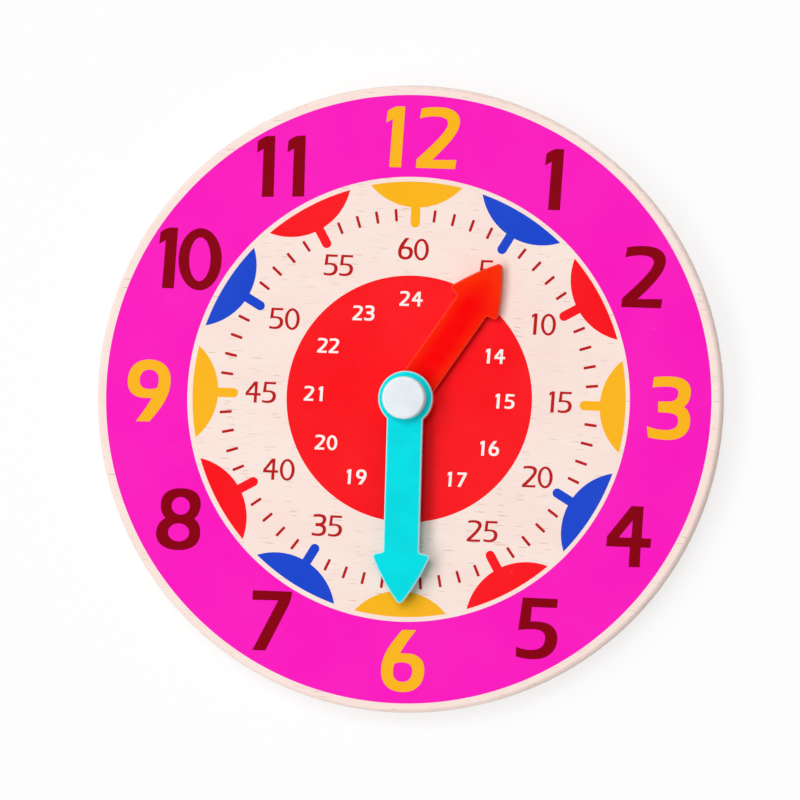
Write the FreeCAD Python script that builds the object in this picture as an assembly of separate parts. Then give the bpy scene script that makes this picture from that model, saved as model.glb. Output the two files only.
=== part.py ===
"""Geared teaching clock: a beech plywood dial with two plastic hands and a hidden 12 to 1 gear train.

Millimetres. The clock lies on its back: +Z points out of the dial, +Y points to twelve o'clock,
and the origin is the centre of the back face. Each function below makes one piece of the clock.
"""

import FreeCAD
import Part

import math
import os

Vector = FreeCAD.Vector
UP = Vector(0, 0, 1)
CENTRE = (0.0, 0.0)

# Wooden board: two glued plywood panels
BOARD_R = 72.5
DIAL_PANEL_T = 3.5
BACK_PANEL_T = 6.5
EDGE_ROUND = 0.8

# Hands as they stand in the photograph, in degrees clockwise from twelve
HOUR_HAND_ANGLE = 33.1
MINUTE_HAND_ANGLE = 179.4

# Outline of the hands, pointing to twelve
HAND_T = 2.0
HUB_R = 6.3
HAND_EDGE_ROUND = 0.45
BARB_HALF_W = 6.8
BARB_ROUND = 0.8
TIP_ROUND = 0.85
TIP_TRIM = 0.5
NOTCH_ROUND = 0.35
HEAD_SWEEP = 0.6
HOUR_HAND_L = 37.75
HOUR_HEAD_L = 11.65
HOUR_SHAFT_HALF_W = 4.2
HOUR_HEAD_BULGE = 0.4
MINUTE_HAND_L = 47.25
MINUTE_HEAD_L = 11.8
MINUTE_SHAFT_HALF_W = 4.15
MINUTE_HEAD_BULGE = 0.5

# Shafts, pipe and bush on the centre line
RUNNING_GAP = 0.05
END_GAP = 0.05
ARBOR_R = 1.5
ARBOR_FLAT = 1.1
PIPE_WALL = 1.15
PIPE_SHOULDER_R = 3.8
BUSH_WALL = 1.25
BUSH_FLANGE_R = 5.5
BUSH_FLANGE_T = 0.6
HOUR_WASHER_R = 5.2
HOUR_WASHER_T = 0.25
HAND_WASHER_R = 5.2
HAND_WASHER_T = 0.5
STUD_R = 1.25
STUD_SEAT = 2.6
STUD_WASHER_R = 3.2
STUD_WASHER_T = 0.4
BLIND_END_GAP = 0.1

# Cap over the end of the arbor
CAP_R = 4.9
CAP_T = 4.6
CAP_FLOOR = 1.6
CAP_ROUND = 0.6

# Gear train: 30/10 times 32/8 is 12
MODULE = 1.0
PRESSURE_ANGLE = math.radians(25.0)
ADDENDUM = 0.85
DEDENDUM = 1.25
PROFILE_SHIFT = 0.3
BACKLASH = 0.12
CANNON_TEETH = 10
MINUTE_WHEEL_TEETH = 30
MINUTE_PINION_TEETH = 8
HOUR_WHEEL_TEETH = 32
FLANK_POINTS = 5
WHEEL_FACE = 1.6
PINION_FACE = 2.1
CANNON_COLLAR_R = 2.85
LAYER_GAP = 0.4
WEB_RECESS = 0.3
RIM_W = 1.6
HUB_W = 2.2

# Well for the gears, and its cover
WELL_GAP = 1.05
COVER_REBATE = 2.0
COVER_SUNK = 0.3
COVER_R = 22.5
COVER_SIDE_GAP = 0.2
COVER_EDGE_ROUND = 0.4
BEARING_DEPTH = 1.2
SPRING_R = 3.4
SPRING_BORE_R = 1.6
SPRING_T = 0.2
SPRING_H = 0.55

# Screws that hold the cover
SCREW_HEAD_R = 1.75
SCREW_HEAD_T = 0.9
SCREW_HEAD_ROUND = 0.45
SCREW_R = 1.0
SCREW_PILOT_R = 0.8
SCREW_L = 4.5
SCREW_POINT_L = 0.8
SCREW_POINT_R = 0.25
SCREW_CIRCLE_R = 20.2
RECESS_W = 0.45
RECESS_L = 2.0
RECESS_D = 0.55
HEAD_SINK_R = 2.0
HEAD_SINK_D = 1.0
SCREW_HOLE_R = 1.15

# Heights that follow from the sizes above, from the back face up
Z_COVER = COVER_SUNK
Z_COVER_IN = COVER_REBATE
Z_JOINT = BACK_PANEL_T
Z_DIAL = BACK_PANEL_T + DIAL_PANEL_T
Z_SPRING = Z_COVER_IN
Z_CANNON = Z_COVER_IN + SPRING_H + END_GAP
Z_MINUTE_WHEEL = Z_COVER_IN + STUD_WASHER_T + END_GAP
Z_WHEEL_TOP = Z_MINUTE_WHEEL + WHEEL_FACE
Z_HOUR_WHEEL = Z_WHEEL_TOP + LAYER_GAP
Z_HOUR_WHEEL_TOP = Z_HOUR_WHEEL + WHEEL_FACE
Z_BUSH_FLANGE = Z_DIAL + BUSH_FLANGE_T
Z_HOUR_WASHER = Z_BUSH_FLANGE + HOUR_WASHER_T
Z_HOUR_HAND = Z_HOUR_WASHER + END_GAP
Z_PIPE_END = Z_HOUR_HAND + HAND_T + END_GAP
Z_HAND_WASHER = Z_PIPE_END + END_GAP
Z_MINUTE_HAND = Z_HAND_WASHER + HAND_WASHER_T
Z_CAP = Z_MINUTE_HAND + HAND_T
Z_CAP_TOP = Z_CAP + CAP_T
Z_ARBOR_END = Z_CAP_TOP - CAP_FLOOR
Z_STUD_END = Z_JOINT + STUD_SEAT

# Radii that follow: each tube runs on the one inside it
PIPE_BORE_R = ARBOR_R + RUNNING_GAP
PIPE_R = PIPE_BORE_R + PIPE_WALL
BUSH_BORE_R = PIPE_R + RUNNING_GAP
BUSH_R = BUSH_BORE_R + BUSH_WALL

# Both gear pairs have forty teeth and one module, so they share one centre distance
CENTRE_DISTANCE = MODULE * (MINUTE_PINION_TEETH + HOUR_WHEEL_TEETH) / 2
STUD_AT = (0.0, -CENTRE_DISTANCE)


def cylinder(r, z0, z1, at=CENTRE):
    """Upright cylinder of radius r from z0 to z1."""
    return Part.makeCylinder(r, z1 - z0, Vector(at[0], at[1], z0), UP)


def tube(r_out, r_in, z0, z1, at=CENTRE):
    """Upright ring from z0 to z1."""
    return cylinder(r_out, z0, z1, at).cut(cylinder(r_in, z0, z1, at))


def stadium(r, z0, z1):
    """Block with round ends of radius r about the centre and about the stud."""
    length = CENTRE_DISTANCE
    middle = Part.makeBox(2 * r, length, z1 - z0, Vector(-r, -length, z0))
    ends = [cylinder(r, z0, z1), cylinder(r, z0, z1, STUD_AT)]
    return middle.multiFuse(ends).removeSplitter()


def circle_edges(shape, r, z):
    """Full circles of radius r that lie at height z."""
    found = []
    for edge in shape.Edges:
        curve = edge.Curve
        if not isinstance(curve, Part.Circle):
            continue
        if abs(curve.Radius - r) < 1e-6 and abs(curve.Center.z - z) < 1e-6:
            found.append(edge)
    return found


def rim_edges(shape, z):
    """Edges that lie wholly at height z."""
    return [e for e in shape.Edges if abs(e.BoundBox.ZMin - z) < 1e-6 and abs(e.BoundBox.ZMax - z) < 1e-6]


def involute(angle):
    return math.tan(angle) - angle


def gear_outline(teeth, shift, phase):
    """Closed outline of a spur gear. One tooth is centred on the angle phase, in radians."""
    pitch_r = MODULE * teeth / 2
    base_r = pitch_r * math.cos(PRESSURE_ANGLE)
    tip_r = pitch_r + MODULE * (ADDENDUM + shift)
    root_r = pitch_r - MODULE * (DEDENDUM - shift)
    tooth_w = MODULE * (math.pi / 2 + 2 * shift * math.tan(PRESSURE_ANGLE)) - BACKLASH
    start_r = max(base_r, root_r)

    def half_angle(r):
        """Half of the tooth's angular width at radius r."""
        at_r = math.acos(min(1.0, base_r / r))
        return tooth_w / (2 * pitch_r) + involute(PRESSURE_ANGLE) - involute(at_r)

    def point(r, angle):
        return Vector(r * math.cos(angle), r * math.sin(angle), 0)

    edges = []
    step = 2 * math.pi / teeth
    radii = [start_r + (tip_r - start_r) * k / (FLANK_POINTS - 1) for k in range(FLANK_POINTS)]
    root_half = half_angle(start_r)
    for tooth in range(teeth):
        mid = phase + tooth * step
        rising = [point(r, mid - half_angle(r)) for r in radii]
        falling = [point(r, mid + half_angle(r)) for r in reversed(radii)]
        foot_in = point(root_r, mid - root_half)
        foot_out = point(root_r, mid + root_half)
        next_foot = point(root_r, mid + step - root_half)
        if start_r > root_r + 1e-6:
            edges.append(Part.LineSegment(foot_in, rising[0]).toShape())
        for flank, last in ((rising, False), (falling, True)):
            curve = Part.BSplineCurve()
            curve.interpolate(flank)
            edges.append(curve.toShape())
            if not last:
                edges.append(Part.Arc(rising[-1], point(tip_r, mid), falling[0]).toShape())
        if start_r > root_r + 1e-6:
            edges.append(Part.LineSegment(falling[-1], foot_out).toShape())
        edges.append(Part.Arc(foot_out, point(root_r, mid + step / 2), next_foot).toShape())
    return Part.Wire(edges)


def gear(teeth, shift, phase, z0, z1, at=CENTRE):
    """Solid spur gear from z0 to z1."""
    blank = Part.Face(gear_outline(teeth, shift, phase)).extrude(Vector(0, 0, z1 - z0))
    blank.translate(Vector(at[0], at[1], z0))
    return blank


def tip_radius(teeth, shift):
    return MODULE * (teeth / 2 + ADDENDUM + shift)


def root_radius(teeth, shift):
    return MODULE * (teeth / 2 - DEDENDUM + shift)


def web_recess(teeth, hub_r, z0, z1, at=CENTRE):
    """Shallow ring moulded out of a wheel's face, between its hub and its rim."""
    return tube(root_radius(teeth, -PROFILE_SHIFT) - RIM_W, hub_r, z0, z1, at)


def dial_panel():
    """Front plywood disc, which carries the print, the bush and the stud."""
    disc = cylinder(BOARD_R, Z_JOINT, Z_DIAL)
    disc = disc.cut(cylinder(BUSH_R, Z_JOINT, Z_DIAL))
    disc = disc.cut(cylinder(STUD_R, Z_JOINT, Z_STUD_END, STUD_AT))
    return disc.makeFillet(EDGE_ROUND, circle_edges(disc, BOARD_R, Z_DIAL))


def back_panel():
    """Back plywood disc with the well for the gears and the rebate for the cover."""
    disc = cylinder(BOARD_R, 0, Z_JOINT)
    disc = disc.makeFillet(EDGE_ROUND, circle_edges(disc, BOARD_R, 0))
    well_r = tip_radius(HOUR_WHEEL_TEETH, -PROFILE_SHIFT) + WELL_GAP
    well_low_r = tip_radius(MINUTE_WHEEL_TEETH, -PROFILE_SHIFT) + WELL_GAP
    disc = disc.cut(cylinder(well_r, 0, Z_JOINT))
    disc = disc.cut(cylinder(well_low_r, 0, Z_JOINT, STUD_AT))
    disc = disc.cut(stadium(COVER_R, 0, COVER_REBATE))
    for at in screw_places():
        disc = disc.cut(cylinder(SCREW_PILOT_R, COVER_REBATE, COVER_REBATE + SCREW_L, at))
    return disc


def back_cover():
    """Moulded plate over the gear well, sunk below the back face, with the rear bearings."""
    plate = stadium(COVER_R - COVER_SIDE_GAP, Z_COVER, Z_COVER_IN)
    plate = plate.makeFillet(COVER_EDGE_ROUND, rim_edges(plate, Z_COVER))
    bearing_floor = Z_COVER_IN - BEARING_DEPTH
    plate = plate.cut(cylinder(PIPE_BORE_R, bearing_floor, Z_COVER_IN))
    plate = plate.cut(cylinder(STUD_R, bearing_floor, Z_COVER_IN, STUD_AT))
    for at in screw_places():
        plate = plate.cut(cylinder(HEAD_SINK_R, Z_COVER, Z_COVER + HEAD_SINK_D, at))
        plate = plate.cut(cylinder(SCREW_HOLE_R, Z_COVER, Z_COVER_IN, at))
    return plate


def screw_places():
    """Centres of the four cover screws, at 45 degrees about each round end."""
    reach = SCREW_CIRCLE_R * math.sqrt(0.5)
    return [(x, y) for x in (-reach, reach) for y in (reach, STUD_AT[1] - reach)]


def cover_screw(at):
    """Self-tapping screw with a domed head and a cross recess, its head towards the back."""
    z_seat = Z_COVER + HEAD_SINK_D
    z_head = z_seat - SCREW_HEAD_T
    z_tip = z_seat + SCREW_L
    head = cylinder(SCREW_HEAD_R, z_head, z_seat, at)
    head = head.makeFillet(SCREW_HEAD_ROUND, circle_edges(head, SCREW_HEAD_R, z_head))
    shank = cylinder(SCREW_R, z_seat, z_tip - SCREW_POINT_L, at)
    point_at = Vector(at[0], at[1], z_tip - SCREW_POINT_L)
    point = Part.makeCone(SCREW_R, SCREW_POINT_R, SCREW_POINT_L, point_at, UP)
    screw = head.multiFuse([shank, point]).removeSplitter()
    for dx, dy in ((RECESS_L, RECESS_W), (RECESS_W, RECESS_L)):
        corner = Vector(at[0] - dx / 2, at[1] - dy / 2, z_head)
        screw = screw.cut(Part.makeBox(dx, dy, RECESS_D, corner))
    return screw


def cover_screws():
    """Four like screws, as one group of separate solids."""
    return Part.makeCompound([cover_screw(at) for at in screw_places()])


def centre_bush():
    """Flanged bush pressed into the dial, in which the hour pipe turns."""
    flange = cylinder(BUSH_FLANGE_R, Z_DIAL, Z_BUSH_FLANGE)
    barrel = cylinder(BUSH_R, Z_JOINT, Z_DIAL)
    bush = flange.fuse(barrel).removeSplitter()
    return bush.cut(cylinder(BUSH_BORE_R, Z_JOINT, Z_BUSH_FLANGE))


def hour_washer():
    """Thin washer between the bush and the hour hand."""
    return tube(HOUR_WASHER_R, BUSH_BORE_R, Z_BUSH_FLANGE, Z_HOUR_WASHER)


def wheel_stud():
    """Steel pin on which the minute wheel turns, pressed into the dial and held by the cover."""
    z_foot = Z_COVER_IN - BEARING_DEPTH + BLIND_END_GAP
    return cylinder(STUD_R, z_foot, Z_STUD_END - BLIND_END_GAP, STUD_AT)


def stud_washer():
    """Washer between the cover and the minute wheel."""
    return tube(STUD_WASHER_R, STUD_R, Z_COVER_IN, Z_COVER_IN + STUD_WASHER_T, STUD_AT)


def friction_spring():
    """Dished washer that presses the cannon pinion forward, so that the hands stay where they are put."""
    z_rim = Z_SPRING
    z_eye = Z_SPRING + SPRING_H
    section = [
        Vector(SPRING_R, 0, z_rim),
        Vector(SPRING_R, 0, z_rim + SPRING_T),
        Vector(SPRING_BORE_R, 0, z_eye),
        Vector(SPRING_BORE_R, 0, z_eye - SPRING_T),
    ]
    face = Part.Face(Part.makePolygon(section + section[:1]))
    return face.revolve(Vector(0, 0, 0), UP, 360)


def centre_arbor():
    """Steel shaft with a flat at the front, which carries the minute hand and the cannon pinion."""
    z_foot = Z_COVER_IN - BEARING_DEPTH + BLIND_END_GAP
    shaft = cylinder(ARBOR_R, z_foot, Z_ARBOR_END)
    return shaft.cut(arbor_flat())


def arbor_flat():
    """What is filed off the arbor's front end. The flat faces the tip of the minute hand."""
    length = Z_ARBOR_END - Z_MINUTE_HAND
    block = Part.makeBox(2 * ARBOR_R, ARBOR_R, length, Vector(-ARBOR_R, ARBOR_FLAT, Z_MINUTE_HAND))
    return turned(block, MINUTE_HAND_ANGLE)


def cannon_pinion():
    """Ten-tooth pinion pressed on the arbor, with a collar that bears on the hour wheel."""
    z_collar = Z_WHEEL_TOP
    phase = -math.pi / 2
    teeth = gear(CANNON_TEETH, PROFILE_SHIFT, phase, Z_CANNON, z_collar)
    collar = cylinder(CANNON_COLLAR_R, z_collar, Z_HOUR_WHEEL - END_GAP)
    return teeth.fuse(collar).cut(cylinder(ARBOR_R, Z_CANNON, Z_HOUR_WHEEL))


def minute_wheel():
    """Thirty-tooth wheel and eight-tooth pinion, moulded as one, on the stud."""
    gap_to_cannon = math.pi / 2 + math.pi / MINUTE_WHEEL_TEETH
    tooth_to_hour_wheel = math.pi / 2
    wheel = gear(MINUTE_WHEEL_TEETH, -PROFILE_SHIFT, gap_to_cannon, Z_MINUTE_WHEEL, Z_WHEEL_TOP, STUD_AT)
    z_end = Z_WHEEL_TOP + PINION_FACE
    pinion = gear(MINUTE_PINION_TEETH, PROFILE_SHIFT, tooth_to_hour_wheel, Z_WHEEL_TOP, z_end, STUD_AT)
    hub_r = tip_radius(MINUTE_PINION_TEETH, PROFILE_SHIFT) + HUB_W / 2
    recess = web_recess(MINUTE_WHEEL_TEETH, hub_r, Z_WHEEL_TOP - WEB_RECESS, Z_WHEEL_TOP, STUD_AT)
    both = wheel.fuse(pinion).cut(recess)
    return both.cut(cylinder(STUD_R + RUNNING_GAP, Z_MINUTE_WHEEL, z_end, STUD_AT))


def hour_wheel():
    """Thirty-two-tooth wheel with the pipe that carries the hour hand."""
    gap_to_pinion = -math.pi / 2 + math.pi / HOUR_WHEEL_TEETH
    wheel = gear(HOUR_WHEEL_TEETH, -PROFILE_SHIFT, gap_to_pinion, Z_HOUR_WHEEL, Z_HOUR_WHEEL_TOP)
    hub_r = PIPE_R + HUB_W
    recess = web_recess(HOUR_WHEEL_TEETH, hub_r, Z_HOUR_WHEEL_TOP - WEB_RECESS, Z_HOUR_WHEEL_TOP)
    shoulder = cylinder(PIPE_SHOULDER_R, Z_HOUR_WHEEL_TOP, Z_JOINT - END_GAP)
    pipe = cylinder(PIPE_R, Z_HOUR_WHEEL, Z_PIPE_END)
    whole = wheel.cut(recess).multiFuse([shoulder, pipe]).removeSplitter()
    return whole.cut(cylinder(PIPE_BORE_R, Z_HOUR_WHEEL, Z_PIPE_END))


def vertical_edge_at(shape, x, y):
    """Upright edges of a plate that stand at the point x, y."""
    found = []
    for edge in shape.Edges:
        box = edge.BoundBox
        upright = box.ZMax - box.ZMin > HAND_T / 2
        if upright and abs(box.XMin - x) < 1e-3 and abs(box.YMin - y) < 1e-3:
            found.append(edge)
    return found


def hand(length, head_l, shaft_half_w, bulge, bore):
    """Flat arrow that points to +Y, with its underside at z 0. Its corners and front edge are rounded."""
    notch_y = length - head_l
    barb_y = notch_y + HEAD_SWEEP
    apex_y = length + TIP_TRIM
    barb = Vector(BARB_HALF_W, barb_y, 0)
    apex = Vector(0, apex_y, 0)
    side = apex - barb
    out = Vector(side.y, -side.x, 0).normalize()
    middle = (barb + apex) * 0.5 + out * bulge

    def mirrored(p):
        return Vector(-p.x, p.y, 0)

    notch = Vector(shaft_half_w, notch_y, 0)
    root = Vector(shaft_half_w, 0, 0)
    edges = [
        Part.LineSegment(mirrored(root), root),
        Part.LineSegment(root, notch),
        Part.LineSegment(notch, barb),
        Part.Arc(barb, middle, apex),
        Part.Arc(apex, mirrored(middle), mirrored(barb)),
        Part.LineSegment(mirrored(barb), mirrored(notch)),
        Part.LineSegment(mirrored(notch), mirrored(root)),
    ]
    outline = Part.Wire([e.toShape() for e in edges])
    arrow = Part.Face(outline).extrude(Vector(0, 0, HAND_T))
    plate = arrow.fuse(cylinder(HUB_R, 0, HAND_T)).removeSplitter()
    neck_y = math.sqrt(HUB_R**2 - shaft_half_w**2)
    rounds = [
        (0, apex_y, TIP_ROUND),
        (BARB_HALF_W, barb_y, BARB_ROUND),
        (-BARB_HALF_W, barb_y, BARB_ROUND),
        (shaft_half_w, notch_y, NOTCH_ROUND),
        (-shaft_half_w, notch_y, NOTCH_ROUND),
        (shaft_half_w, neck_y, NOTCH_ROUND),
        (-shaft_half_w, neck_y, NOTCH_ROUND),
    ]
    for x, y, r in rounds:
        plate = plate.makeFillet(r, vertical_edge_at(plate, x, y))
    plate = plate.makeFillet(HAND_EDGE_ROUND, rim_edges(plate, HAND_T))
    return plate.cut(bore)


def turned(shape, clockwise):
    """Copy of shape turned clockwise about the centre line, as seen from the front."""
    copy = shape.copy()
    copy.rotate(Vector(0, 0, 0), UP, -clockwise)
    return copy


def hour_hand():
    """Red arrow that grips the end of the hour pipe."""
    bore = cylinder(PIPE_R + RUNNING_GAP, 0, HAND_T)
    plate = hand(HOUR_HAND_L, HOUR_HEAD_L, HOUR_SHAFT_HALF_W, HOUR_HEAD_BULGE, bore)
    plate.translate(Vector(0, 0, Z_HOUR_HAND))
    return turned(plate, HOUR_HAND_ANGLE)


def minute_hand():
    """Turquoise arrow keyed to the arbor by the flat in its bore."""
    flat = Part.makeBox(2 * ARBOR_R, ARBOR_R, HAND_T, Vector(-ARBOR_R, ARBOR_FLAT, 0))
    bore = cylinder(ARBOR_R, 0, HAND_T).cut(flat)
    plate = hand(MINUTE_HAND_L, MINUTE_HEAD_L, MINUTE_SHAFT_HALF_W, MINUTE_HEAD_BULGE, bore)
    plate.translate(Vector(0, 0, Z_MINUTE_HAND))
    return turned(plate, MINUTE_HAND_ANGLE)


def hand_washer():
    """Washer on the arbor that keeps the two hands apart."""
    return tube(HAND_WASHER_R, PIPE_BORE_R, Z_HAND_WASHER, Z_MINUTE_HAND)


def centre_cap():
    """Round white cap pressed on the end of the arbor."""
    button = cylinder(CAP_R, Z_CAP, Z_CAP_TOP)
    button = button.makeFillet(CAP_ROUND, circle_edges(button, CAP_R, Z_CAP_TOP))
    return button.cut(cylinder(ARBOR_R, Z_CAP, Z_ARBOR_END))


PIECES = [
    dial_panel,
    back_panel,
    back_cover,
    cover_screws,
    centre_bush,
    hour_washer,
    wheel_stud,
    stud_washer,
    friction_spring,
    centre_arbor,
    cannon_pinion,
    minute_wheel,
    hour_wheel,
    hour_hand,
    minute_hand,
    hand_washer,
    centre_cap,
]


def build():
    """Every piece by its name."""
    return {make.__name__: make() for make in PIECES}


def main():
    os.makedirs("parts", exist_ok=True)
    for name, shape in build().items():
        if not shape.isValid():
            raise ValueError(name + " is not a valid solid")
        shape.exportStep("parts/" + name + ".step")
        print(name, round(shape.Volume, 1), "mm3")


main()
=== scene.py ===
"""Looks of the geared teaching clock: its printed dial, its materials, the light and the camera.

Metres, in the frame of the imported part: the clock lies on its back, +Z points out of the dial and
+Y points to twelve o'clock. The print is a set of thin slabs on the dial's face.
"""

import math

import bpy
from mathutils import Matrix, Vector
from mathutils.geometry import tessellate_polygon


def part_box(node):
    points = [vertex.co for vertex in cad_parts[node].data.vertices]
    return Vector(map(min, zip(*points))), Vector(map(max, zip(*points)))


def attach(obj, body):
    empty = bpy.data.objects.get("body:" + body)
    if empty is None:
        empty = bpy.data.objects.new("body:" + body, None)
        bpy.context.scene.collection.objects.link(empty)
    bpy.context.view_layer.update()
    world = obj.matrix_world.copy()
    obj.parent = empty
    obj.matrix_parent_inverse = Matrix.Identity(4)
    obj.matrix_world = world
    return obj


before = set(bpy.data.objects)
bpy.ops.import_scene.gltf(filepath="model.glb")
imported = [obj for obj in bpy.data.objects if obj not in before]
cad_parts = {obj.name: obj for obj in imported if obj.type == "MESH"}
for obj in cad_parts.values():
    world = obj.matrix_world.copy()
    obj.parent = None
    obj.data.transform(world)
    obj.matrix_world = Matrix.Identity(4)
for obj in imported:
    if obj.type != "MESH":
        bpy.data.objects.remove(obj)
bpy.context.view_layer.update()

MM = 0.001
FACE_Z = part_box("dial_panel")[1][2]
JOINT_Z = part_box("dial_panel")[0][2]
BACK_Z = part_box("back_panel")[0][2]
CENTRE = (0.0, 0.0)

# Hour hand as it stands at rest, in degrees clockwise from twelve
HOUR_HAND_ANGLE = 33.1

# The photograph: 800 px square, with the dial's centre and scale measured in it
FRAME_PX = 800
DIAL_AT_PX = (407.74, 398.68)
PX_PER_MM = 4.3303
DIAL_ROLL = math.radians(2.243)
VIEW_RIGHT = math.radians(6.2)
VIEW_BELOW = math.radians(1.5)
CAMERA_DISTANCE = 1.5
SENSOR_W = 36.0

# Layers of ink on the dial's face
INK_SINK = 0.02 * MM
INK_T = 0.03 * MM
OVERPRINT_T = 0.05 * MM

# Sizes of the print, in mm. It isn't quite centred, so its parts have their own centres
RING_R_OUT = 70.3
RING_CENTRE = (-0.12, -0.05)
RING_R_IN = 51.4
RING_HOLE_CENTRE = (0.0, -0.1)
DISC_R = 28.5
DISC_CENTRE = (0.3, -0.03)
DISC_HOLE_GAP = 0.2
DISC_HOLE_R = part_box("centre_bush")[1][0] / MM + DISC_HOLE_GAP
MARK_SHIFT = (0.13, -0.1)
MARK_R_OUT = 50.3
MARK_HALF_CHORD = 10.6
MARK_R_DEEP = 44.35
STEM_R_IN = 39.7
STEM_HALF_W = 1.08
TICK_R_IN = 41.2
TICK_R_OUT = 44.05
TICK_HALF_W = 0.32
TICK_CORNER = 0.14

# Divisions of the dial: degrees from hour to hour and from minute to minute, and minutes
HOUR_STEP = 30
MINUTE_STEP = 6
MINUTES = 60
MINUTES_PER_HOUR_MARK = 5

# Curves: their steps, how near two points count as one, and the least divisor of a mitred corner
CIRCLE_STEPS = 360
OVAL_STEPS = 60
CURVE_STEPS = 10
BELLY_STEPS = 24
STEM_STEPS = 16
SAME_POINT = 1e-6
MITRE_LIMIT = 0.35

MARK_INKS = {
    "yellow": (12, 3, 6, 9),
    "blue": (1, 4, 7, 10),
    "red": (2, 5, 8, 11),
}

# Figures drawn at the size of the hour figures, in mm from the left end of the baseline.
# M starts a contour, L draws a line, C a curve with two handles and its end, O an oval
# with its centre and half widths. The first contour is the outside, the others are holes.
FIGURES = {
    "0": ["O 5.05,6.95 5.05,7.2", "O 5,6.95 2.5,5.1"],
    "1": [
        "M 0,0 L 2.75,0 L 3.2,14.1 L 1.4,14.1 C 0.7,13.95 -0.2,13.5 -0.85,12.9 "
        "L -1.05,10.25 L 0.45,11.15"
    ],
    "2": [
        "M 0,0 L 9.1,0 L 9.35,2.1 L 3.7,1.95 C 6.4,4.7 9.85,8.1 9.85,10.9 C 9.85,13.1 7.9,14.2 4.9,14.2 "
        "C 3.4,14.2 2,14.05 0.85,13.75 L 0.5,11.45 C 1.8,11.85 3,12.05 4.1,12.05 "
        "C 6,12.05 7.1,11.5 7.1,10.5 C 7.1,9 4.6,6.3 0.1,2"
    ],
    "3": [
        "M 0.4,0.45 C 1.8,0.15 3.3,0 4.8,0 C 8.1,0 9.95,1.7 9.95,4.4 C 9.95,6 9.4,7.1 8.35,7.7 "
        "C 9.35,8.5 9.85,9.7 9.85,11.2 C 9.85,13.4 8.2,14.6 5.2,14.6 C 3.8,14.6 2.5,14.5 1.25,14.3 "
        "L 1,11.95 C 2.2,12.15 3.4,12.25 4.5,12.25 C 6.2,12.25 7,11.9 7,10.9 C 7,9.4 6.2,8.85 4.6,8.85 "
        "L 2.4,8.75 L 2.5,6.3 L 4.6,6.25 C 6.3,6.2 7.2,5.7 7.2,4.4 C 7.2,2.9 6.1,2.25 4.1,2.25 "
        "C 2.6,2.25 1.2,2.55 0.05,3"
    ],
    "4": [
        "M 5.35,0 L 7.9,0 L 7.95,4.55 L 10.2,4.55 L 10.3,6.65 L 8.1,6.7 L 8.3,14 L 5.5,14 "
        "L 0.1,6.8 L 0,4.55 L 5.45,4.55",
        "M 2.85,6.7 L 5.75,6.7 L 5.9,10.75",
    ],
    "5": [
        "M 0.05,0.5 C 1.3,0.15 2.6,0 3.9,0 C 7.3,0 9.45,1.9 9.45,4.9 C 9.45,7.4 7.6,8.7 4.6,8.7 "
        "L 3.1,8.7 L 3.3,12 L 9.1,12 L 9.25,14.05 L 1.15,14.1 L 0.35,6.6 C 1.6,6.8 2.9,6.9 3.9,6.9 "
        "C 5.7,6.9 6.65,6.3 6.65,4.9 C 6.65,3.1 5.5,2.1 3.3,2.1 C 2.1,2.1 1,2.35 0,2.7"
    ],
    "6": [
        "M 4.65,14.35 C 1.9,11 0.05,8.3 0.05,4.9 C 0.05,1.8 1.9,0 5.05,0 C 8.2,0 10.1,1.9 10.1,5.1 "
        "C 10.1,7.6 8.6,8.95 6,8.95 L 4.35,8.9 C 5,10.4 6.2,12.1 7.85,14.4",
        "M 3.15,6.5 C 2.95,5.9 2.85,5.3 2.85,4.6 C 2.85,3.2 3.6,2.35 5.05,2.35 "
        "C 6.5,2.35 7.3,3.3 7.3,4.95 C 7.3,6.2 6.5,6.85 4.95,6.85 C 4.4,6.85 3.8,6.75 3.15,6.5",
    ],
    "7": ["M 0.45,0 L 3.45,0 L 8.3,10.3 C 8.85,11.5 9.1,12.4 9.15,13.8 L 0.05,13.8 L 0,11.6 L 6.05,11.7"],
    "8": [
        "M 5.15,0 C 8.4,0 10.3,1.5 10.3,4.05 C 10.3,5.6 9.8,6.7 8.75,7.4 C 9.7,8.2 10.15,9.4 10.15,10.85 "
        "C 10.15,13.1 8.5,14.35 5.65,14.35 C 2.6,14.35 0.85,12.9 0.85,10.55 C 0.85,9.1 1.2,8.1 2.05,7.35 "
        "C 0.7,6.5 0,5.3 0,3.75 C 0,1.4 1.9,0 5.15,0",
        "O 5.5,10.25 2.15,2.05",
        "O 5.25,4.1 2.5,2.1",
    ],
}
FIGURE_H = 14.3
SIX_BOX = (10.15, 14.4)

# Where each number stands, in mm: its baseline, its figures, and the left end of each figure
HOUR_NUMBERS = {
    "yellow": [
        (53.4, "12", (-6.4, -0.2)),
        (-7.3, "3", (55.5,)),
        (-67.7, "6", (-3.8,)),
        (-7.5, "9", (-65.5,)),
    ],
    "maroon": [
        (44.7, "1", (30.8,)),
        (22.9, "2", (48.6,)),
        (-36.8, "4", (47.2,)),
        (-58.9, "5", (27.3,)),
        (-59.4, "7", (-34.3,)),
        (-37.0, "8", (-57.4,)),
        (23.6, "10", (-58.3, -54.7)),
        (45.5, "11", (-35.8, -28.7)),
    ],
}
MINUTE_NUMBERS = [
    (32.1, "60", (-3.6, 0.1)),
    (27.7, "5", (15.4,)),
    (15.8, "10", (28.4, 30.2)),
    (-2.0, "15", (33.1, 34.8)),
    (-19.4, "20", (27.2, 30.8)),
    (-32.4, "25", (14.9, 18.8)),
    (-37.1, "30", (-3.6, 0.1)),
    (-32.5, "35", (-21.2, -17.3)),
    (-19.9, "40", (-33.0, -29.1)),
    (-2.2, "45", (-37.8, -33.9)),
    (15.0, "50", (-32.9, -29.3)),
    (27.8, "55", (-20.7, -17.1)),
]
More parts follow.
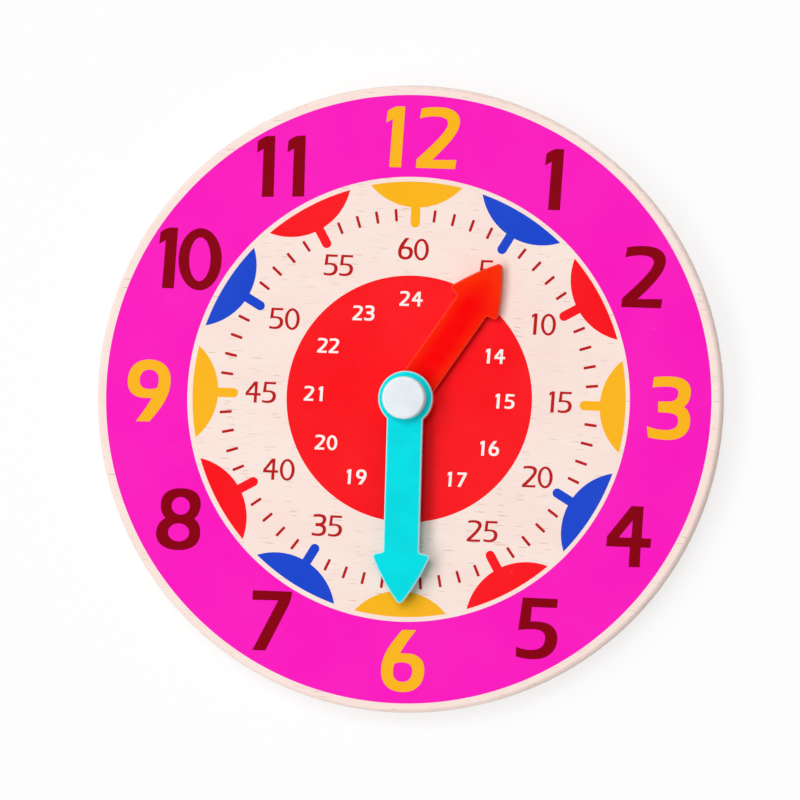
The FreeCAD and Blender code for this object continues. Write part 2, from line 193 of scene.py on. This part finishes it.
DAY_NUMBERS = [
    (17.2, "13", (10.2, 11.9)),
    (8.8, "14", (18.0, 19.7)),
    (-1.5, "15", (20.6, 22.5)),
    (-12.5, "16", (17.5, 19.2)),
    (-19.9, "17", (10.2, 12.2)),
    (-24.2, "18", (-1.8, -0.1)),
    (-20.2, "19", (-13.2, -11.3)),
    (-12.5, "20", (-21.2, -18.4)),
    (-1.3, "21", (-24.2, -20.5)),
    (9.9, "22", (-21.5, -18.8)),
    (17.7, "23", (-13.6, -10.9)),
    (21.4, "24", (-2.8, 0.1)),
]

# The one number that leans
TILTED_NUMBER = "11"
TILT = math.radians(2.5)

# Heights of the smaller figures, and how much is taken off the minute figures all round, in mm
MINUTE_H = 5.0
MINUTE_INSET = 0.3
DAY_H = 3.45


# Outlines

def turned_figure(contours, box):
    """The contours of a figure turned half round in its box, as commands again."""
    turned = []
    for contour in contours:
        words = []
        for word in contour.split():
            if "," in word:
                x, y = (float(v) for v in word.split(","))
                word = "%g,%g" % (box[0] - x, box[1] - y)
            words.append(word)
        turned.append(" ".join(words))
    return turned


FIGURES["9"] = turned_figure(FIGURES["6"], SIX_BOX)


def circle(r, centre=CENTRE, steps=CIRCLE_STEPS, ry=None):
    """Points of a circle, or of an oval if ry is given."""
    ry = r if ry is None else ry
    angles = [2 * math.pi * k / steps for k in range(steps)]
    return [(centre[0] + r * math.cos(a), centre[1] + ry * math.sin(a)) for a in angles]


def cubic(p0, p1, p2, p3):
    """Points of a cubic curve after its first one."""
    points = []
    for k in range(1, CURVE_STEPS + 1):
        t = k / CURVE_STEPS
        s = 1 - t
        w = (s**3, 3 * s * s * t, 3 * s * t * t, t**3)
        points.append(tuple(sum(wi * p[i] for wi, p in zip(w, (p0, p1, p2, p3))) for i in (0, 1)))
    return points


def contour_points(commands):
    """Points of one contour, from its commands."""
    words = commands.split()
    points = []
    k = 0
    while k < len(words):
        name = words[k]
        count = {"M": 1, "L": 1, "C": 3, "O": 2}[name]
        args = [tuple(float(v) for v in w.split(",")) for w in words[k + 1:k + 1 + count]]
        if name == "C":
            points += cubic(points[-1], *args)
        elif name == "O":
            points += circle(args[1][0], args[0], OVAL_STEPS, args[1][1])
        else:
            points.append(args[0])
        k += 1 + count
    if math.dist(points[0], points[-1]) < SAME_POINT:
        points.pop()
    return points


def area(points):
    """Area of a contour, positive when it runs anticlockwise."""
    pairs = zip(points, points[1:] + points[:1])
    return sum(a[0] * b[1] - b[0] * a[1] for a, b in pairs) / 2


def facing(points, anticlockwise):
    """The contour, run the way that is asked."""
    return points if (area(points) > 0) == anticlockwise else points[::-1]


def inset_points(points, inset):
    """The contour moved to its left by inset, with its corners mitred."""
    moved = []
    count = len(points)
    for k in range(count):
        before, here, after = (Vector(points[(k + d) % count]) for d in (-1, 0, 1))
        n1 = (here - before).orthogonal().normalized()
        n2 = (after - here).orthogonal().normalized()
        moved.append(tuple(here + (n1 + n2) * (inset / max(MITRE_LIMIT, 1 + n1.dot(n2)))))
    return moved


def figure_contours(name, height, inset):
    """Contours of one figure at its height, made lighter by the inset."""
    outlines = [contour_points(c) for c in FIGURES[name]]
    outlines = [facing(points, k == 0) for k, points in enumerate(outlines)]
    if inset:
        outlines = [inset_points(points, inset) for points in outlines]
    scale = height / (FIGURE_H - 2 * inset)
    return [[((x - inset) * scale, (y - inset) * scale) for x, y in points] for points in outlines]


def number_contours(numbers, height, inset=0.0):
    """Contour groups of the figures of a list of numbers, in mm on the dial."""
    groups = []
    for baseline, figures, lefts in numbers:
        pivot = Vector((lefts[0], baseline))
        turn = Matrix.Rotation(TILT if figures == TILTED_NUMBER else 0.0, 2)
        for name, left in zip(figures, lefts):
            group = []
            for points in figure_contours(name, height, inset):
                placed = [Vector((x + left, y + baseline)) for x, y in points]
                group.append([tuple(pivot + turn @ (p - pivot)) for p in placed])
            groups.append(group)
    return groups


def on_dial(points, clockwise):
    """Points that were drawn towards twelve, turned to their place in degrees."""
    turn = Matrix.Rotation(-math.radians(clockwise), 2)
    return [tuple(turn @ Vector(p) + Vector(MARK_SHIFT)) for p in points]


def arc(centre, r, start, end, steps):
    """Points of an arc between two angles in radians."""
    angles = [start + (end - start) * k / steps for k in range(steps + 1)]
    return [(centre[0] + r * math.cos(a), centre[1] + r * math.sin(a)) for a in angles]


def hour_mark(hour):
    """Half-moon under the ring with a round-ended stem that points inwards."""
    half = math.asin(MARK_HALF_CHORD / MARK_R_OUT)
    corner_y = MARK_R_OUT * math.cos(half)
    depth = corner_y - MARK_R_DEEP
    belly_r = (MARK_HALF_CHORD**2 + depth**2) / (2 * depth)
    belly_at = (0.0, MARK_R_DEEP + belly_r)
    corner_a = math.atan2(corner_y - belly_at[1], -MARK_HALF_CHORD)
    stem_a = math.asin(STEM_HALF_W / belly_r)
    down = -math.pi / 2
    left = arc(belly_at, belly_r, corner_a, down - stem_a, BELLY_STEPS)
    right = [(-x, y) for x, y in reversed(left)]
    stem_at = (0.0, STEM_R_IN + STEM_HALF_W)
    end = arc(stem_at, STEM_HALF_W, -math.pi, 0.0, STEM_STEPS)
    top = arc(CENTRE, MARK_R_OUT, math.pi / 2 - half, math.pi / 2 + half, BELLY_STEPS)
    return on_dial(left + end + right + top[1:-1], hour * HOUR_STEP)


def tick(minute):
    """Short bar with clipped corners, towards its minute."""
    w, c = TICK_HALF_W, TICK_CORNER
    half = [(w - c, TICK_R_IN), (w, TICK_R_IN + c), (w, TICK_R_OUT - c), (w - c, TICK_R_OUT)]
    return on_dial(half + [(-x, y) for x, y in reversed(half)], minute * MINUTE_STEP)


# Pieces

def slab(name, groups, z0, z1, body, material):
    """Closed flat piece. Each group is an outside contour and its holes, in mm."""
    verts, faces = [], []
    for group in groups:
        group = [facing(points, k == 0) for k, points in enumerate(group)]
        flat = [p for points in group for p in points]
        base, count = len(verts), len(flat)
        verts += [(x * MM, y * MM, z) for z in (z0, z1) for x, y in flat]
        for tri in tessellate_polygon([[Vector((x, y, 0)) for x, y in points] for points in group]):
            a, b, c = (Vector(flat[i]) for i in tri)
            if (b - a).cross(c - a) < 0:
                tri = tri[::-1]
            faces.append([base + i + count for i in tri])
            faces.append([base + i for i in tri[::-1]])
        start = base
        for points in group:
            n = len(points)
            for k in range(n):
                p, q = start + k, start + (k + 1) % n
                faces.append([p, q, q + count, p + count])
            start += n
    mesh = bpy.data.meshes.new(name)
    mesh.from_pydata(verts, [], faces)
    mesh.validate()
    piece = bpy.data.objects.new(name, mesh)
    bpy.context.scene.collection.objects.link(piece)
    mesh.materials.append(material)
    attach(piece, body)


def ink(name, groups, colour, over=False):
    """Layer of ink on the dial. An overprint lies on the first colour."""
    base = FACE_Z + (INK_T if over else 0)
    top = base + (OVERPRINT_T if over else INK_T)
    slab(name, groups, base - INK_SINK, top, "case", INKS[colour])


def print_dial():
    """Everything that is printed on the dial."""
    ring = [circle(RING_R_OUT, RING_CENTRE), circle(RING_R_IN, RING_HOLE_CENTRE)]
    disc = [circle(DISC_R, DISC_CENTRE), circle(DISC_HOLE_R)]
    ticks = [[tick(minute)] for minute in range(MINUTES) if minute % MINUTES_PER_HOUR_MARK]
    ink("print_ring", [ring], "magenta")
    ink("print_disc", [disc], "red")
    for colour, hours in MARK_INKS.items():
        ink("print_marks_" + colour, [[hour_mark(h)] for h in hours], colour)
    ink("print_ticks", ticks, "crimson")
    for colour, numbers in HOUR_NUMBERS.items():
        ink("print_hours_" + colour, number_contours(numbers, FIGURE_H), colour, over=True)
    ink("print_minutes", number_contours(MINUTE_NUMBERS, MINUTE_H, MINUTE_INSET), "crimson")
    ink("print_day_hours", number_contours(DAY_NUMBERS, DAY_H), "white", over=True)


# Materials

class Nodes:
    """Short way to write the nodes of a tree."""

    def __init__(self, tree):
        self.tree = tree
        self.coords = tree.nodes.new("ShaderNodeTexCoord")

    def put(self, socket, value):
        """Sets a socket, or links it if value is another node's output."""
        if isinstance(value, bpy.types.NodeSocket):
            self.tree.links.new(value, socket)
        elif hasattr(value, "__len__") and len(value) == 3 and socket.type == "RGBA":
            socket.default_value = (*value, 1.0)
        else:
            socket.default_value = value

    def add(self, kind, output=0, inputs=None, **settings):
        """A new node with its settings and inputs. Returns one of its outputs."""
        node = self.tree.nodes.new("ShaderNode" + kind)
        for key, value in settings.items():
            setattr(node, key, value)
        for key, value in (inputs or {}).items():
            self.put(node.inputs[key], value)
        return node.outputs[output]

    def math(self, operation, a, b=0.0):
        """Two values combined by the operation."""
        return self.add("Math", inputs={0: a, 1: b}, operation=operation)

    def ramp(self, value, span, to=(0.0, 1.0)):
        """Value carried from a span to another range, with smooth ends."""
        inputs = {"Value": value, "From Min": span[0], "From Max": span[1]}
        inputs.update({"To Min": to[0], "To Max": to[1]})
        return self.add("MapRange", inputs=inputs, interpolation_type="SMOOTHSTEP")

    def seen(self, *rays):
        """1 for any of these kinds of ray, 0 for the others."""
        total = 0.0
        for ray in rays:
            total = self.math("MAXIMUM", total, self.add("LightPath", "Is %s Ray" % ray))
        return total


class Material(Nodes):
    """Short way to write a material with one principled shader."""

    def __init__(self, name):
        self.material = bpy.data.materials.new(name)
        self.material.use_nodes = True
        super().__init__(self.material.node_tree)
        self.shader = self.tree.nodes["Principled BSDF"]

    def place(self, size, turn=0.0):
        """Object coordinates in units of size, in mm along each axis, turned about Z."""
        scale = [1 / (s * MM) for s in size]
        inputs = {"Vector": self.coords.outputs["Object"], "Rotation": (0, 0, turn)}
        turned = self.add("Mapping", inputs=inputs)
        return self.add("Mapping", inputs={"Vector": turned, "Scale": scale})

    def noise(self, size, detail=3.0, turn=0.0, rough=0.5, warp=0.0):
        """Noise from 0 to 1 with features of size, in mm along each axis."""
        inputs = {"Vector": self.place(size, turn), "Scale": 1.0, "Detail": detail}
        inputs["Roughness"] = rough
        inputs["Distortion"] = warp
        return self.add("TexNoise", inputs=inputs)

    def cells(self, place):
        """Distance from the middle of each cell of unit size, and the cell's random colour."""
        node = self.tree.nodes.new("ShaderNodeTexVoronoi")
        self.put(node.inputs["Vector"], place)
        self.put(node.inputs["Scale"], 1.0)
        return node.outputs["Distance"], node.outputs["Color"]

    def mix(self, factor, a, b):
        """Colour a with b mixed in."""
        node = self.tree.nodes.new("ShaderNodeMix")
        node.data_type = "RGBA"
        for name, value in (("Factor", factor), ("A", a), ("B", b)):
            socket = [s for s in node.inputs if s.name == name and s.enabled][0]
            self.put(socket, value)
        return [s for s in node.outputs if s.enabled][0]

    def bump(self, height, distance, strength):
        """Bump of a height field from 0 to 1, distance deep in mm."""
        inputs = {"Height": height, "Distance": distance * MM, "Strength": strength}
        return self.add("Bump", inputs=inputs)

    def edge(self, span):
        """1 where the surface turns away from the front or back, 0 where it lies flat."""
        z = self.add("SeparateXYZ", 2, {0: self.coords.outputs["Normal"]})
        return self.ramp(self.math("ABSOLUTE", z), span)

    def finish(self, **sockets):
        """Sets the shader's sockets, by name with _ for a space."""
        for key, value in sockets.items():
            self.put(self.shader.inputs[key.replace("_", " ")], value)
        return self.material


def linear(r, g, b):
    """Colour as a shader wants it, from screen values of 0 to 255."""
    values = [v / 255 for v in (r, g, b)]
    return tuple(v / 12.92 if v <= 0.04045 else ((v + 0.055) / 1.055) ** 2.4 for v in values)


# Spans of a pattern, from where it starts to show to where it is full
MIDDLE = (0.3, 0.7)
PEAKS = (0.5, 0.85)

# Wood: its colours, the size of its patterns in mm along each axis, and how much of each shows
GRAIN_TURN = math.radians(2.5)
BEECH = linear(252, 230, 221)
BEECH_PINK = linear(252, 226, 217)
BEECH_CREAM = linear(252, 233, 223)
BEECH_FLECK = linear(194, 138, 116)
BEECH_END = linear(222, 186, 160)
BEECH_GLUE = linear(150, 112, 88)
BLOTCH_SIZE = (22, 9, 9)
STREAK_SIZE = (20, 1.1, 1.1)
STREAK_SPAN = (0.35, 0.75)
STREAK_SHARE = 0.4
FINE_SIZE = (7, 0.2, 0.2)
FINE_SHARE = 0.16
FINE_RELIEF = 0.5
FLECK_SIZE = (5.4, 0.4, 0.4)
FLECK_BEND_SIZE = (9, 3, 3)
FLECK_SPAN = (0.30, 0.10)
FLECK_CHOICE = (0.35, 0.9)
FLECK_GROUP_SIZE = (14, 6, 6)
FLECK_GROUP_SPAN = (0.35, 0.65)
FLECK_GROUP_SHARE = (0.4, 1.0)
FLECK_SHARE = 0.75
PORE_SIZE = (0.25, 0.25, 1.6)
PORE_SPAN = (0.35, 0.7)
GLUE_SPAN = (0.045, 0.015)
GLUE_SHARE = 0.75
BOARD_EDGE_SPAN = (0.75, 0.35)
VARNISH_SIZE = (14, 1.2, 1.2)
VARNISH_ROUGH = (0.42, 0.54)
VARNISH_SHINE = 0.25
VARNISH_DEPTH = 0.03
DIAL_PLIES = 3
BACK_PLIES = 5


def wood_flecks(n):
    """Fine dark dashes along the grain, 0 where there is none."""
    bend = n.noise(FLECK_BEND_SIZE, turn=GRAIN_TURN)
    place = n.add("VectorMath", inputs={0: n.place(FLECK_SIZE, GRAIN_TURN), 1: bend}, operation="ADD")
    distance, colour = n.cells(place)
    shape = n.ramp(distance, FLECK_SPAN)
    chosen = n.ramp(n.add("SeparateColor", 0, {0: colour}), FLECK_CHOICE)
    group = n.ramp(n.noise(FLECK_GROUP_SIZE, detail=1), FLECK_GROUP_SPAN, FLECK_GROUP_SHARE)
    return n.math("MULTIPLY", n.math("MULTIPLY", shape, chosen), group)


def ply_edge(n, face, pores, joint_z, ply_t):
    """Colour of the board's edge, and 1 on the plies that show end grain. They count from joint_z."""
    z = n.add("SeparateXYZ", 2, {0: n.coords.outputs["Object"]})
    layer = n.math("DIVIDE", n.math("SUBTRACT", z, joint_z), ply_t * MM)
    odd = n.math("PINGPONG", n.math("FLOOR", layer), 1.0)
    glue = n.ramp(n.math("PINGPONG", layer, 0.5), GLUE_SPAN)
    side = n.mix(odd, face, n.mix(pores, BEECH_END, BEECH_PINK))
    return n.mix(n.math("MULTIPLY", glue, GLUE_SHARE), side, BEECH_GLUE), odd


def beech(name, joint_z, ply_t):
    """Sanded and varnished beech plywood with plies of ply_t, in mm."""
    n = Material(name)
    blotch = n.ramp(n.noise(BLOTCH_SIZE, detail=2, turn=GRAIN_TURN), MIDDLE)
    streak = n.noise(STREAK_SIZE, detail=4, turn=GRAIN_TURN, rough=0.6)
    fine = n.noise(FINE_SIZE, detail=3, turn=GRAIN_TURN, rough=0.65)
    flecks = wood_flecks(n)
    colour = n.mix(blotch, BEECH_PINK, BEECH_CREAM)
    colour = n.mix(n.ramp(streak, STREAK_SPAN, (0.0, STREAK_SHARE)), colour, BEECH)
    colour = n.mix(n.ramp(fine, PEAKS, (0.0, FINE_SHARE)), colour, BEECH_FLECK)
    colour = n.mix(n.math("MULTIPLY", flecks, FLECK_SHARE), colour, BEECH_FLECK)

    pores = n.ramp(n.noise(PORE_SIZE), PORE_SPAN)
    side, end_grain = ply_edge(n, colour, pores, joint_z, ply_t)
    edge = n.edge(BOARD_EDGE_SPAN)
    colour = n.mix(edge, colour, side)

    rough = n.ramp(n.noise(VARNISH_SIZE, turn=GRAIN_TURN), MIDDLE, VARNISH_ROUGH)
    height = n.math("SUBTRACT", n.math("MULTIPLY", fine, FINE_RELIEF), flecks)
    open_pores = n.math("MULTIPLY", n.math("MULTIPLY", pores, end_grain), edge)
    height = n.math("ADD", height, open_pores)
    normal = n.bump(height, VARNISH_DEPTH, strength=0.6)
    return n.finish(Base_Color=colour, Roughness=rough, Specular_IOR_Level=VARNISH_SHINE, Normal=normal)


# Ink: the size of its patterns in mm, and how much of each shows
INK_CLOUD_SIZE = (16, 16, 16)
INK_HAZE = 0.006
INK_SHINE = 0.08
INK_DARK = 0.9
WEAVE_SIZE = (0.5, 0.5, 0.5)
WEAVE_SHARE = 0.5
WEAVE_RELIEF = 0.4
INK_FLECK_SHARE = 0.25
PINHOLE_SIZE = (2.6, 2.6, 2.6)
PINHOLE_SPAN = (0.07, 0.02)
PINHOLE_CHOICE = (0.9, 0.96)
PINHOLE_SHARE = 0.25
INK_GLOSS_SIZE = (4, 4, 4)
INK_ROUGH = (0.44, 0.56)
INK_DEPTH = 0.02


def pinholes(n):
    """Small round gaps here and there in the ink."""
    distance, colour = n.cells(n.place(PINHOLE_SIZE))
    chosen = n.ramp(n.add("SeparateColor", 1, {0: colour}), PINHOLE_CHOICE)
    return n.math("MULTIPLY", n.ramp(distance, PINHOLE_SPAN), chosen)


def ink_material(name, colour, haze=INK_HAZE, shine=INK_SHINE):
    """Screen-printed ink: even colour with slight mottling, and the grain showing through."""
    n = Material("ink_" + name)
    dark = tuple(v * INK_DARK for v in colour)
    pale = tuple(v + (1 - v) * haze for v in colour)
    cloud = n.ramp(n.noise(INK_CLOUD_SIZE, detail=2), MIDDLE)
    weave = n.noise(WEAVE_SIZE, rough=0.6)
    flecks = wood_flecks(n)
    body = n.mix(cloud, colour, pale)
    body = n.mix(n.ramp(weave, PEAKS, (0.0, WEAVE_SHARE)), body, dark)
    body = n.mix(n.math("MULTIPLY", flecks, INK_FLECK_SHARE), body, dark)
    body = n.mix(n.math("MULTIPLY", pinholes(n), PINHOLE_SHARE), body, BEECH)
    rough = n.ramp(n.noise(INK_GLOSS_SIZE), MIDDLE, INK_ROUGH)
    height = n.math("SUBTRACT", n.math("MULTIPLY", weave, WEAVE_RELIEF), flecks)
    normal = n.bump(height, INK_DEPTH, strength=0.5)
    return n.finish(Base_Color=body, Roughness=rough, Specular_IOR_Level=shine, Normal=normal)


INKS = {
    "magenta": ink_material("magenta", linear(254, 8, 193)),
    "red": ink_material("red", linear(254, 2, 18)),
    "yellow": ink_material("yellow", linear(255, 184, 14)),
    "blue": ink_material("blue", linear(14, 68, 207)),
    "maroon": ink_material("maroon", linear(137, 0, 18), haze=0.001, shine=0.02),
    "white": ink_material("white", linear(255, 246, 242)),
    "crimson": ink_material("crimson", linear(188, 10, 12)),
}

# Plastic: the size of its patterns in mm
PLASTIC_CLOUD_SIZE = (7, 7, 7)
PLASTIC_DEEP = 0.93
SCRATCH_SIZE = (6, 0.12, 0.12)
SCRATCH_TURN = math.radians(35)
SCRATCH_RELIEF = 0.4
SKIN_SIZE = (0.22, 0.22, 0.22)
GLOSS_SIZE = (3, 3, 3)
# Painted highlight: where an edge turns away from flat, its colour is made paler, as if it caught the
# light
EDGE_HIGHLIGHT_SPAN = (0.985, 0.8)

# Each plastic: screen colours of its faces and of the painted highlight on its rounded edges, how much
# that painted highlight shows, the range of its roughness, the depth of its grain in mm, and its shine
PLASTICS = {
    # The white cap's painted highlight is tinted cyan, a painted reflection of the turquoise hand
    "white_plastic": ((234, 242, 247), (226, 252, 254), 0.6, (0.2, 0.3), 0.012, 0.5),
    "cover_plastic": ((232, 232, 230), (246, 246, 245), 0.5, (0.42, 0.52), 0.03, 0.5),
    "turquoise_plastic": ((0, 228, 234), (206, 246, 248), 0.9, (0.12, 0.18), 0.012, 0.12),
    "acetal": ((236, 234, 226), (244, 243, 238), 0.4, (0.35, 0.45), 0.012, 0.5),
    "nylon": ((240, 238, 230), (246, 245, 240), 0.3, (0.45, 0.6), 0.02, 0.5),
}


def scratches(n, turn):
    """Fine scratches that run one way."""
    return n.noise(SCRATCH_SIZE, detail=2, turn=turn, rough=0.6, warp=0.6)


def plastic(name, colour, edge_highlight_colour, edge_highlight_share, rough, grain, shine):
    """Moulded plastic: faint clouding, fine scratches, and a painted highlight on its rounded edges."""
    n = Material(name)
    face = linear(*colour)
    deep = tuple(v * PLASTIC_DEEP for v in face)
    body = n.mix(n.ramp(n.noise(PLASTIC_CLOUD_SIZE, detail=2), MIDDLE), face, deep)
    # Painted highlight: the rounded edges are painted paler, in the highlight colour
    body = n.mix(n.math("MULTIPLY", n.edge(EDGE_HIGHLIGHT_SPAN), edge_highlight_share), body, linear(*edge_highlight_colour))
    skin = n.noise(SKIN_SIZE, detail=2)
    gloss = n.ramp(n.noise(GLOSS_SIZE), MIDDLE, rough)
    height = n.math("ADD", n.math("MULTIPLY", scratches(n, SCRATCH_TURN), SCRATCH_RELIEF), skin)
    normal = n.bump(height, grain, strength=0.5)
    return n.finish(Base_Color=body, Roughness=gloss, Specular_IOR_Level=shine, Normal=normal)


# Red plastic: its colours, and where it is painted orange as a painted glow of light shining through it,
# in mm along and across the hand
RED = linear(255, 0, 0)
RED_DEEP = linear(250, 0, 0)
# Orange of the painted glow, where light would shine through the plastic
RED_PAINTED_GLOW = linear(255, 50, 0)
# Painted highlight on the hand's rounded edges, and how much of it shows
RED_EDGE_HIGHLIGHT = linear(255, 92, 60)
RED_EDGE_HIGHLIGHT_SHARE = 0.4
# Spans and share of the painted glow towards the tip and along the edges
RED_GLOW_TIP_SPAN = (27 * MM, 37 * MM)
RED_GLOW_SIDE_SPAN = (1.2 * MM, 4.2 * MM)
RED_GLOW_SIDE_SHARE = 0.5
RED_CLOUD_SIZE = (5, 5, 5)
RED_CLOUD_SHARE = 0.3
RED_SCRATCH_TURN = math.radians(-50)
RED_ROUGH = (0.12, 0.18)
RED_GRAIN = 0.01
RED_SHINE = 0.08


def red_plastic():
    """Glossy red plastic, painted more orange towards tip and edges as a painted glow of light shining
    through it.
    """
    n = Material("red_plastic")
    turn = (0, 0, math.radians(HOUR_HAND_ANGLE))
    along = n.add("Mapping", inputs={"Vector": n.coords.outputs["Object"], "Rotation": turn})
    across = n.math("ABSOLUTE", n.add("SeparateXYZ", 0, {0: along}))
    reach = n.add("SeparateXYZ", 1, {0: along})
    tip = n.ramp(n.math("ADD", reach, across), RED_GLOW_TIP_SPAN)
    side = n.ramp(across, RED_GLOW_SIDE_SPAN, (0.0, RED_GLOW_SIDE_SHARE))
    cloud = n.ramp(n.noise(RED_CLOUD_SIZE, detail=2), MIDDLE, (0.0, RED_CLOUD_SHARE))
    # Painted glow: towards the tip and along the edges the red is painted orange, as if light shone
    # through
    body = n.mix(n.math("MAXIMUM", tip, side), RED, RED_PAINTED_GLOW)
    body = n.mix(cloud, body, RED_DEEP)
    # Painted highlight on the rounded edges
    body = n.mix(n.math("MULTIPLY", n.edge(EDGE_HIGHLIGHT_SPAN), RED_EDGE_HIGHLIGHT_SHARE), body, RED_EDGE_HIGHLIGHT)
    gloss = n.ramp(n.noise(GLOSS_SIZE), MIDDLE, RED_ROUGH)
    normal = n.bump(scratches(n, RED_SCRATCH_TURN), RED_GRAIN, strength=0.5)
    return n.finish(Base_Color=body, Roughness=gloss, Specular_IOR_Level=RED_SHINE, Normal=normal)


# Metal: the size of its marks and of its uneven gloss, in mm
METAL_MARK_SPAN = (0.35, 0.75)
METAL_DARK = 0.78
METAL_GLOSS_SIZE = (1.5, 1.5, 1.5)
METAL_ROUGH_SPREAD = 0.12
METAL_DEPTH = 0.01

# Each metal: its colour, its least roughness, and the size of its marks in mm
METALS = {
    "steel": ((0.56, 0.57, 0.58), 0.22, (0.15, 0.15, 3)),
    "zinc_steel": ((0.62, 0.64, 0.66), 0.3, (0.3, 0.3, 0.3)),
}


def metal(name, colour, rough, marks_size):
    """Turned or plated metal with fine marks and slightly uneven gloss."""
    n = Material(name)
    marks = n.noise(marks_size, detail=4, rough=0.65)
    dark = tuple(v * METAL_DARK for v in colour)
    body = n.mix(n.ramp(marks, METAL_MARK_SPAN), colour, dark)
    gloss = n.ramp(n.noise(METAL_GLOSS_SIZE), MIDDLE, (rough, rough + METAL_ROUGH_SPREAD))
    normal = n.bump(marks, METAL_DEPTH, strength=0.4)
    return n.finish(Base_Color=body, Metallic=1.0, Roughness=gloss, Normal=normal)


# The material of each CAD piece
NODE_MATERIALS = {
    "dial_panel": "beech_dial",
    "back_panel": "beech_back",
    "back_cover": "cover_plastic",
    "cover_screws": "zinc_steel",
    "centre_bush": "acetal",
    "hour_washer": "nylon",
    "wheel_stud": "steel",
    "stud_washer": "nylon",
    "friction_spring": "steel",
    "centre_arbor": "steel",
    "cannon_pinion": "acetal",
    "minute_wheel": "acetal",
    "hour_wheel": "acetal",
    "hour_hand": "red_plastic",
    "minute_hand": "turquoise_plastic",
    "hand_washer": "nylon",
    "centre_cap": "white_plastic",
}


def dress_nodes():
    """Gives each carried-over CAD piece its material."""
    materials = {name: plastic(name, *looks) for name, looks in PLASTICS.items()}
    materials.update({name: metal(name, *looks) for name, looks in METALS.items()})
    materials["red_plastic"] = red_plastic()
    materials["beech_dial"] = beech("beech_dial", JOINT_Z, (FACE_Z - JOINT_Z) / MM / DIAL_PLIES)
    materials["beech_back"] = beech("beech_back", JOINT_Z, (JOINT_Z - BACK_Z) / MM / BACK_PLIES)
    for node, name in NODE_MATERIALS.items():
        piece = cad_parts[node]
        piece.data.materials.clear()
        piece.data.materials.append(materials[name])


# Light and floor, in metres and watts. The FROM values point from the clock to the light
FLOOR_HALF = 3.0
FLOOR_PAINT = (0.98, 0.98, 0.98)
WHITE = (1.0, 1.0, 1.0)
FLOOR_SHARE_WHITE = 0.75
ROOM_STRENGTH = 0.40
ZENITH_SPAN = (0.78, 0.97)
ZENITH_SHARE = 0.3
KEY_DISTANCE = 3.0
KEY_W = 1.15
KEY_L = 3.6
KEY_POWER = 48
KEY_FROM = (-0.50, 0.0, 1.0)
TOP_STRENGTH = 0.79
TOP_WIDTH = math.radians(18)
TOP_FROM = (-0.05, 0.30, 1.0)


def floor():
    """Plain pale floor under the clock. The camera sees it nearly white, with a faint shadow."""
    n = Material("floor")
    n.finish(Base_Color=FLOOR_PAINT, Roughness=0.9, Specular_IOR_Level=0.0)
    white = n.add("Emission", inputs={"Color": WHITE, "Strength": 1.0})
    share = n.math("MULTIPLY", n.seen("Camera"), FLOOR_SHARE_WHITE)
    blend = n.add("MixShader", inputs={0: share, 1: n.shader.outputs[0], 2: white})
    n.put(n.tree.nodes["Material Output"].inputs["Surface"], blend)
    half = FLOOR_HALF
    mesh = bpy.data.meshes.new("floor")
    corners = [(-half, -half, 0), (half, -half, 0), (half, half, 0), (-half, half, 0)]
    mesh.from_pydata(corners, [], [(0, 1, 2, 3)])
    mesh.materials.append(n.material)
    plane = bpy.data.objects.new("floor", mesh)
    bpy.context.scene.collection.objects.link(plane)


def room():
    """White light tent, dim straight above as it is round a lens, so flat faces keep their colour."""
    world = bpy.data.worlds.new("room")
    bpy.context.scene.world = world
    world.use_nodes = True
    n = Nodes(world.node_tree)
    height = n.add("SeparateXYZ", 2, {0: n.coords.outputs["Generated"]})
    dim = n.ramp(height, ZENITH_SPAN, (1.0, ZENITH_SHARE))
    level = n.ramp(n.seen("Camera", "Glossy", "Transmission"), (0.0, 1.0), (ROOM_STRENGTH, 1.0))
    background = n.tree.nodes["Background"]
    n.put(background.inputs["Color"], WHITE)
    n.put(background.inputs["Strength"], n.math("MULTIPLY", dim, level))


def key_light():
    """Long soft light on the left, along the hands, which casts their shadows."""
    key = bpy.data.lights.new("key", "AREA")
    key.shape = "RECTANGLE"
    key.size = KEY_W
    key.size_y = KEY_L
    key.energy = KEY_POWER
    lamp = bpy.data.objects.new("key", key)
    back = Vector(KEY_FROM).normalized()
    across = Vector((0, 1, 0)).cross(back).normalized()
    turn = Matrix((across, back.cross(across), back)).transposed().to_4x4()
    lamp.matrix_world = Matrix.Translation(back * KEY_DISTANCE) @ turn
    bpy.context.scene.collection.objects.link(lamp)


def top_light():
    """Soft light from above, which keeps the shadows open."""
    top = bpy.data.lights.new("top", "SUN")
    top.energy = TOP_STRENGTH
    top.angle = TOP_WIDTH
    lamp = bpy.data.objects.new("top", top)
    lamp.rotation_euler = Vector(TOP_FROM).to_track_quat("Z", "Y").to_euler()
    bpy.context.scene.collection.objects.link(lamp)


def camera():
    """Camera at the photograph's angle, a little to the right of the dial's axis and below it."""
    right = Vector((math.cos(DIAL_ROLL), math.sin(DIAL_ROLL), 0))
    up = Vector((-math.sin(DIAL_ROLL), math.cos(DIAL_ROLL), 0))
    back = (right * math.tan(VIEW_RIGHT) - up * math.tan(VIEW_BELOW) + Vector((0, 0, 1))).normalized()
    across = up.cross(back).normalized()
    rise = back.cross(across)
    off_right = (DIAL_AT_PX[0] - FRAME_PX / 2) / PX_PER_MM * MM
    off_up = (FRAME_PX / 2 - DIAL_AT_PX[1]) / PX_PER_MM * MM
    aim = Vector((0, 0, FACE_Z)) - across * off_right - rise * off_up
    data = bpy.data.cameras.new("camera")
    data.sensor_width = SENSOR_W
    data.lens = SENSOR_W * CAMERA_DISTANCE * PX_PER_MM / (FRAME_PX * MM)
    eye = bpy.data.objects.new("camera", data)
    turn = Matrix((across, rise, back)).transposed().to_4x4()
    eye.matrix_world = Matrix.Translation(aim + back * CAMERA_DISTANCE) @ turn
    bpy.context.scene.collection.objects.link(eye)
    bpy.context.scene.camera = eye


camera()
room()
key_light()
top_light()
floor()
dress_nodes()
print_dial()
bpy.context.scene.view_settings.view_transform = "Standard"
